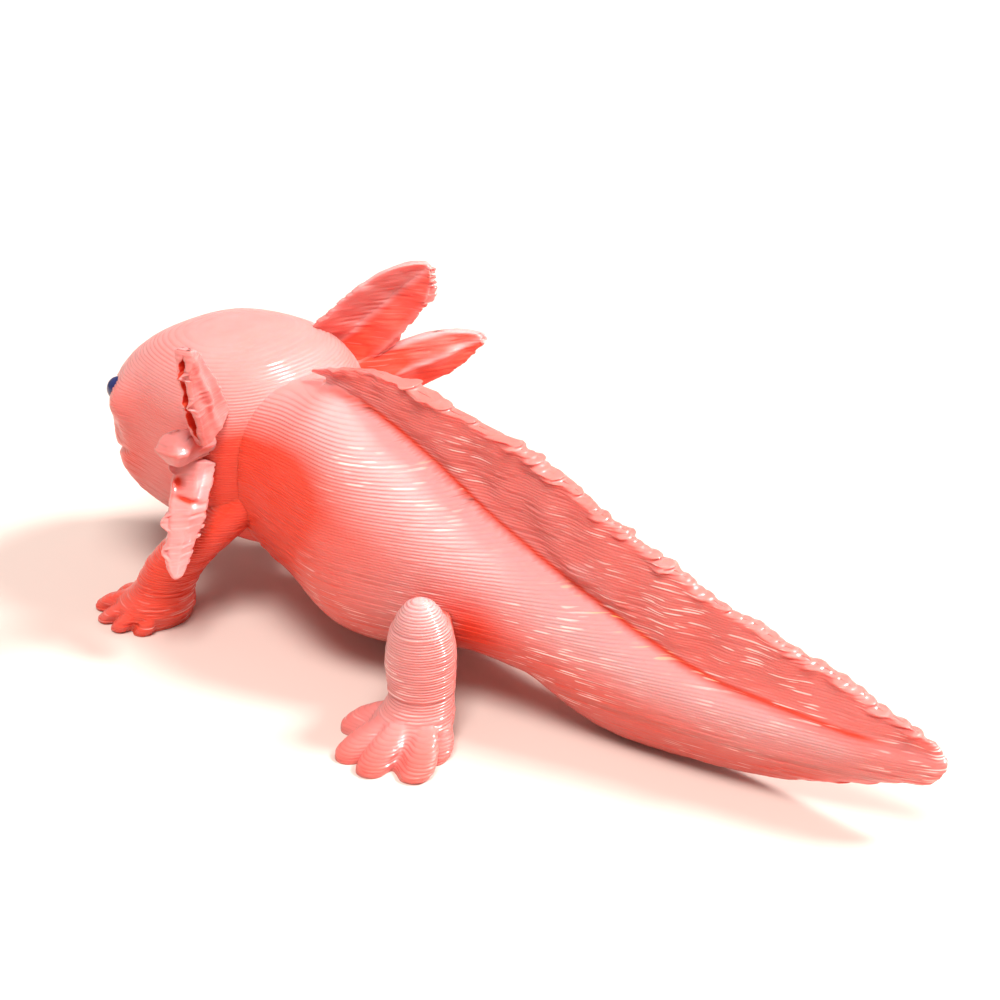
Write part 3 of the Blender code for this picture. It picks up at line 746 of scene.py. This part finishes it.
def fill(tree, socket, value):
    """Link a socket to an output, or set it to a value."""
    if isinstance(value, bpy.types.NodeSocket):
        tree.links.new(value, socket)
    else:
        socket.default_value = value


def node(tree, kind, **inputs):
    """A node of a kind, with its named inputs set or linked; an underscore stands for a space."""
    made = tree.nodes.new(kind)
    for key, value in inputs.items():
        fill(tree, made.inputs[key.replace("_", " ")], value)
    return made


def group(name, inputs, outputs):
    """An empty node group with named number inputs and outputs."""
    tree = bpy.data.node_groups.new(name, "ShaderNodeTree")
    for labels, way in ((inputs, "INPUT"), (outputs, "OUTPUT")):
        for label in labels:
            tree.interface.new_socket(label, in_out=way, socket_type="NodeSocketFloat")
    return tree, tree.nodes.new("NodeGroupInput"), tree.nodes.new("NodeGroupOutput")


def grouped(tree, shared, **inputs):
    """A node that runs a shared group with its own values."""
    made = tree.nodes.new("ShaderNodeGroup")
    made.node_tree = shared
    for key, value in inputs.items():
        fill(tree, made.inputs[key], value)
    return made


def maths(tree, operation, *values):
    """Result of a calculation on values or outputs."""
    made = tree.nodes.new("ShaderNodeMath")
    made.operation = operation
    for socket, value in zip(made.inputs, values):
        fill(tree, socket, value)
    return made.outputs[0]


def mapped(tree, value, low, high):
    """A value's share of the way from low to high, kept within 0 and 1."""
    return node(tree, "ShaderNodeMapRange", Value=value, From_Min=low, From_Max=high).outputs[0]


def mix_color(tree, factor, a, b):
    """Colour a share of the way from a to b."""
    made = tree.nodes.new("ShaderNodeMix")
    made.data_type = "RGBA"
    for socket, value in ((made.inputs[0], factor), (made.inputs[6], a), (made.inputs[7], b)):
        fill(tree, socket, value)
    return made.outputs[2]


def object_place(tree, scale=None):
    """Object coordinates, drawn out along the axes if a scale is given."""
    where = tree.nodes.new("ShaderNodeTexCoord").outputs["Object"]
    return where if scale is None else node(tree, "ShaderNodeMapping", Vector=where, Scale=scale).outputs[0]


def object_height(tree):
    """Height above the soles."""
    return node(tree, "ShaderNodeSeparateXYZ", Vector=object_place(tree)).outputs["Z"]


def noise(tree, where, scale, detail):
    """Soft noise, about 0.5."""
    return node(tree, "ShaderNodeTexNoise", Vector=where, Scale=scale, Detail=detail).outputs[0]


def attribute(tree, name):
    """A mesh attribute's value."""
    made = tree.nodes.new("ShaderNodeAttribute")
    made.attribute_name = name
    return made.outputs["Fac"]


def print_grain():
    """Uneven gloss and fine relief of a printed surface, drawn out along the layers."""
    tree, given, out = group("print_grain", ["Length", "Fineness"], ["Height", "Gloss"])
    along = noise(tree, object_place(tree, (1.0, 1.0, 6.0)), given.outputs["Length"], 2.0)
    fine = noise(tree, object_place(tree), given.outputs["Fineness"], 3.0)
    tree.links.new(maths(tree, "MULTIPLY_ADD", fine, 0.35, along), out.inputs["Height"])
    tree.links.new(along, out.inputs["Gloss"])
    return tree


def layer_scuffs_and_glints():
    """Mask of broken dashes on the upper edges of layers, for pale painted highlights and a raised bump: long
    flat noise, times a band of each layer's height, in loose patches."""
    tree, given, out = group("layer_scuffs_and_glints", ["Layer", "Length"], ["Mask"])
    within = maths(tree, "FRACT", maths(tree, "DIVIDE", object_height(tree), given.outputs["Layer"]))
    band = mapped(tree, maths(tree, "ABSOLUTE", maths(tree, "SUBTRACT", within, 0.8)), 0.34, 0.12)
    dashes = noise(tree, object_place(tree, (1.0, 1.0, 11.0)), given.outputs["Length"], 1.0)
    patches = noise(tree, object_place(tree), 210.0, 2.0)
    mask = maths(tree, "MULTIPLY", band, mapped(tree, dashes, 0.57, 0.63))
    mask = maths(tree, "MULTIPLY", mask, mapped(tree, patches, 0.44, 0.58))
    tree.links.new(mask, out.inputs["Mask"])
    return tree


def bead_roundness(tree):
    """Roundness of each layer's bead: 1 less the square of twice its height's share less 1."""
    within = maths(tree, "FRACT", maths(tree, "DIVIDE", object_height(tree), LAYER * MM))
    off = maths(tree, "MULTIPLY_ADD", within, 2.0, -1.0)
    return maths(tree, "SUBTRACT", 1.0, maths(tree, "MULTIPLY", off, off))


def finish(name, **sockets):
    """A material with its shader's own sockets set; an underscore stands for a space."""
    made = bpy.data.materials.new(name)
    made.use_nodes = True
    shader = made.node_tree.nodes["Principled BSDF"]
    for key, value in sockets.items():
        shader.inputs[key.replace("_", " ")].default_value = value
    return made, made.node_tree, shader


def pink_plastic():
    """Glossy pink plastic with painted orange-red shade in its folds and shaded places, painted light where
    it is lit, and pale and golden painted highlights in dashes along its layers.

    The coat follows rounder beads than the plastic under it, so that highlights break up along the layers.
    """
    made, tree, shader = finish("pink_plastic", IOR=1.48, Specular_IOR_Level=0.3, Coat_Weight=0.6,
                                 Coat_Roughness=0.06, Subsurface_Weight=0.5,
                                 Subsurface_Radius=(1.0, 0.15, 0.1), Subsurface_Scale=0.0009)
    grain = grouped(tree, print_grain(), Length=900.0, Fineness=4000.0)
    scuff_glints = grouped(tree, layer_scuffs_and_glints(), Layer=LAYER * MM, Length=620.0)
    blotch = maths(tree, "MULTIPLY_ADD", noise(tree, object_place(tree), 260.0, 3.0), 0.5, -0.25)
    # painted shade and light, with random blotches of tone, mixes the plain pink toward painted orange-red
    # shade
    shade_and_tone = maths(tree, "ADD", attribute(tree, "painted_light_and_shade"), maths(tree, "MULTIPLY", blotch, 0.9))
    shade_and_tone = mapped(tree, shade_and_tone, -0.5, 0.95)
    colour = mix_color(tree, shade_and_tone, (0.62, 0.30, 0.29, 1.0), (0.67, 0.052, 0.024, 1.0))
    # pale dashes along the layers are painted highlights, golden ones near the crease painted glints; the
    # dashes also raise the bump
    scuff_glint_amount = attribute(tree, "scuffs_and_glints")
    dashes = maths(tree, "MULTIPLY", scuff_glints.outputs["Mask"], maths(tree, "MINIMUM", scuff_glint_amount, 1.0))
    golden_glint_share = mapped(tree, scuff_glint_amount, 1.0, 1.5)
    glint_colour = mix_color(tree, golden_glint_share, (0.92, 0.66, 0.60, 1.0), (1.0, 0.66, 0.15, 1.0))
    colour = mix_color(tree, maths(tree, "MULTIPLY", dashes, 0.8), colour, glint_colour)
    tree.links.new(colour, shader.inputs["Base Color"])
    rough = maths(tree, "MULTIPLY_ADD", grain.outputs["Gloss"], 0.25, 0.36)
    tree.links.new(rough, shader.inputs["Roughness"])
    roundness = bead_roundness(tree)
    height = maths(tree, "MULTIPLY_ADD", dashes, 1.5, grain.outputs["Height"])
    height = maths(tree, "MULTIPLY_ADD", roundness, 0.7, height)
    bump = node(tree, "ShaderNodeBump", Strength=0.35, Distance=0.00003, Height=height)
    tree.links.new(bump.outputs[0], shader.inputs["Normal"])
    rounded = node(tree, "ShaderNodeBump", Strength=1.0, Distance=0.00002, Height=roundness)
    tree.links.new(rounded.outputs[0], shader.inputs["Coat Normal"])
    return made


def eye_paint():
    """Glossy dark blue paint, a little uneven."""
    made, tree, shader = finish("eye_paint", Roughness=0.18, Coat_Weight=0.6, Coat_Roughness=0.05)
    patches = noise(tree, object_place(tree), 1500.0, 3.0)
    colour = mix_color(tree, patches, (0.004, 0.006, 0.035, 1.0), (0.012, 0.02, 0.12, 1.0))
    tree.links.new(colour, shader.inputs["Base Color"])
    return made


# ---- the pieces ----

def dress(piece, slot, *nodes):
    """A finished piece rides with the figurine and stands for its solids, which it hides; the slot is not
    used.
    """
    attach(piece, "root")
    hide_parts(*nodes)


pink = pink_plastic()
paint = eye_paint()

skin = printed("head_skin", head_plan, 3.4, 13.33, pink, follow=0.85, groove=0.022, wear=0.5, scuffs_and_glints=0.25,
               scuff_glint_start=4.0)
dress(skin, "pink_plastic", "head", "neck")
skin = printed("body_skin", upper_plan, SPLIT, 13.55, pink, follow=0.7, groove=0.022, is_strip=True,
               joined=("below",))
dress(skin, "pink_plastic", "trunk_front", "trunk_rear", "tail_base", "tail_middle", "tail_tip",
      "dorsal_fin_front", "dorsal_fin_middle", "dorsal_fin_rear")
skin = printed("belly_skin", belly_plan, 0.95, SPLIT, pink, follow=0.7, groove=0.022, is_strip=True,
               joined=("above",))
dress(skin, "pink_plastic", "trunk_front", "trunk_rear")
skin = printed("tail_fin_skin", tail_fin_plan, 0.32, SPLIT, pink, follow=0.7, groove=0.022, is_strip=True,
               joined=("above",))
dress(skin, "pink_plastic", "ventral_fin")
for side_name, side in (("left", 1.0), ("right", -1.0)):
    dress(eye_ball(f"eye_paint_{side_name}", side, paint), "eye_paint", f"eye_{side_name}")
    for kind, leg in LEGS.items():
        shift = STANCE.get(f"{kind}_{side_name}", (0.0, 0.0))
        skin = printed(f"leg_{kind}_skin_{side_name}", lambda z: leg_plan(leg, shift, z), 0.0, leg["top"],
                       pink, follow=0.9, groove=0.035, side=side, seed=int(side) + 3, smooth=(1.4, 2.4),
                       scuffs_and_glints=0.8, scuff_glint_start=0.0)
        dress(skin, "pink_plastic", f"leg_{kind}_{side_name}", f"foot_{kind}_{side_name}")
    for i, gill in enumerate(("upper", "middle", "lower")):
        leaf = Leaf(**GILLS[f"{gill}_{side_name}"], seed=31 + 7 * i + int(side))
        low, high = leaf.span()
        skin = printed(f"gill_{gill}_skin_{side_name}", leaf.plan, low, high, pink, follow=0.96, groove=0.012,
                       side=side, is_strip=True, seed=3 * i, wear=0.5, fold=0.0, scuffs_and_glints=0.5, scuff_glint_start=0.0)
        dress(skin, "pink_plastic", f"gill_{gill}_{side_name}")

# ---- floor, light and camera ----
FLOOR_REACH = 1.2
CAMERA_AIM = np.array([0.0, 0.0007, 0.0093])
CAMERA_AZIMUTH, CAMERA_ELEVATION, CAMERA_DISTANCE = np.radians(132.0), np.radians(25.5), 0.110


def area_light(name, place, size, power, colour, aim=(0.0, 0.0, 0.006), glints_only=False, glossy=True):
    """Square soft light at a place in metres, turned toward its aim; it may make nothing but highlights, or
    none."""
    lamp = bpy.data.lights.new(name, "AREA")
    lamp.size = size
    lamp.energy = power
    lamp.color = colour
    made = bpy.data.objects.new(name, lamp)
    made.location = place
    away = np.array(place) - np.array(aim)
    flat = np.hypot(away[0], away[1])
    made.rotation_euler = (np.arctan2(flat, away[2]), 0.0, np.arctan2(away[1], away[0]) + np.pi / 2)
    made.visible_diffuse, made.visible_glossy, made.visible_camera = not glints_only, glossy, False
    bpy.context.scene.collection.objects.link(made)


floor_mesh = bpy.data.meshes.new("floor")
corners = [(x * FLOOR_REACH, y * FLOOR_REACH, 0.0) for x, y in ((-1, -1), (1, -1), (1, 1), (-1, 1))]
floor_mesh.from_pydata(corners, [], [(0, 1, 2, 3)])
floor_mesh.materials.append(finish("floor_paper", Base_Color=(0.64, 0.51, 0.455, 1.0), Roughness=0.6)[0])
floor = bpy.data.objects.new("floor", floor_mesh)
bpy.context.scene.collection.objects.link(floor)

area_light("key", (-0.558, 0.54, 0.918), 0.28, 23.0, (1.0, 0.99, 0.98), glossy=False)
area_light("sky", (0.40, 0.36, 1.08), 0.52, 20.0, (1.0, 0.98, 0.96), glossy=False)
area_light("side_window", (-0.20, 0.22, 0.268), 0.07, 5.0, (1.0, 1.0, 1.0), aim=(0.0, 0.0, 0.005),
           glints_only=True)

world = bpy.data.worlds.new("studio")
world.use_nodes = True
world.node_tree.nodes["Background"].inputs["Color"].default_value = (1.0, 0.94, 0.91, 1.0)
world.node_tree.nodes["Background"].inputs["Strength"].default_value = 0.4
bpy.context.scene.world = world
bpy.context.scene.view_settings.view_transform = "Standard"

flat = np.cos(CAMERA_ELEVATION)
toward = np.array([np.sin(CAMERA_AZIMUTH) * flat, -np.cos(CAMERA_AZIMUTH) * flat, np.sin(CAMERA_ELEVATION)])
camera_data = bpy.data.cameras.new("camera")
camera_data.lens = 86.4
camera_data.sensor_width = 36.0
camera_data.clip_start = 0.001
camera = bpy.data.objects.new("camera", camera_data)
camera.location = CAMERA_AIM + CAMERA_DISTANCE * toward
camera.rotation_euler = (np.pi / 2 - CAMERA_ELEVATION, 0.0, CAMERA_AZIMUTH)
bpy.context.scene.collection.objects.link(camera)
bpy.context.scene.camera = camera
